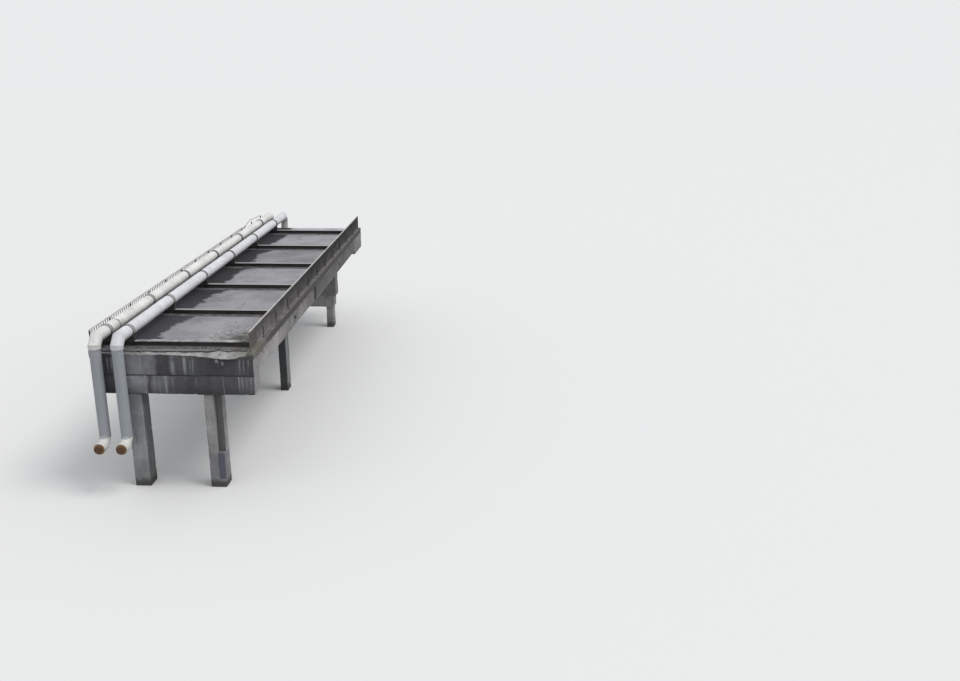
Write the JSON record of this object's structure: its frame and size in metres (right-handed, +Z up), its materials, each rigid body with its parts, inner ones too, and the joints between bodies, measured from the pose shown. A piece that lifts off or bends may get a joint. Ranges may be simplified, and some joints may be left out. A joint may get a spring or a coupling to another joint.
{
  "type": "pipe bridge",
  "caption": "Concrete overbridge on column bents that carries insulated pipes beside a railed deck, with risers at both ends.",
  "frame": {"origin": "on the ground, midway along the whole length and on the deck's centre line", "axes": "+Y along the bridge away from the near end, +X to the right seen from the near end, +Z up"},
  "size_m": [8.32, 37.35, 8.6101],
  "materials": {
    "bent_concrete": "weathered cast concrete",
    "beam_concrete": "smooth precast concrete, stained",
    "deck_concrete": "bare worn concrete",
    "kerb_concrete": "damp dark concrete",
    "pipe_jacket": "pale sheet metal jacket",
    "riser_jacket": "greyer sheet metal jacket",
    "support_steel": "dark rolled steel, rusty",
    "railing_steel": "rusty brown steel"
  },
  "bodies": {
    "root": {"abutment_wall": "bent_concrete", "approach_slab": "deck_concrete", "back_wall": "bent_concrete", "far_crosshead": "bent_concrete", "far_left_column": "bent_concrete", "far_right_column": "bent_concrete", "first_deck_slab": "deck_concrete", "first_span_diaphragm": "beam_concrete", "first_span_inner_beams": "beam_concrete", "first_span_left_beam": "beam_concrete", "first_span_right_beam": "beam_concrete", "inner_far_riser": "riser_jacket", "inner_far_upper_bend": "pipe_jacket", "inner_near_riser": "riser_jacket", "inner_near_upper_bend": "pipe_jacket", "inner_pipe_run": "pipe_jacket", "left_kerb": "kerb_concrete", "left_railing_far": "railing_steel", "left_railing_near": "railing_steel", "left_wing_wall": "bent_concrete", "middle_crosshead": "bent_concrete", "middle_left_column": "bent_concrete", "middle_right_column": "bent_concrete", "near_crosshead": "bent_concrete", "near_end_wall": "bent_concrete", "near_left_column": "bent_concrete", "near_right_column": "bent_concrete", "outer_far_riser": "riser_jacket", "outer_far_upper_bend": "pipe_jacket", "outer_near_riser": "riser_jacket", "outer_near_upper_bend": "pipe_jacket", "outer_pipe_run": "pipe_jacket", "pipe_support_1": "support_steel", "pipe_support_2": "support_steel", "pipe_support_3": "support_steel", "pipe_support_4": "support_steel", "pipe_support_5": "support_steel", "pipe_support_6": "support_steel", "right_kerb": "kerb_concrete", "right_railing_far": "railing_steel", "right_railing_near": "railing_steel", "right_wing_wall": "bent_concrete", "second_deck_slab": "deck_concrete", "second_span_diaphragm": "beam_concrete", "second_span_inner_beams": "beam_concrete", "second_span_left_beam": "beam_concrete", "second_span_right_beam": "beam_concrete"}
  },
  "joints": []
}
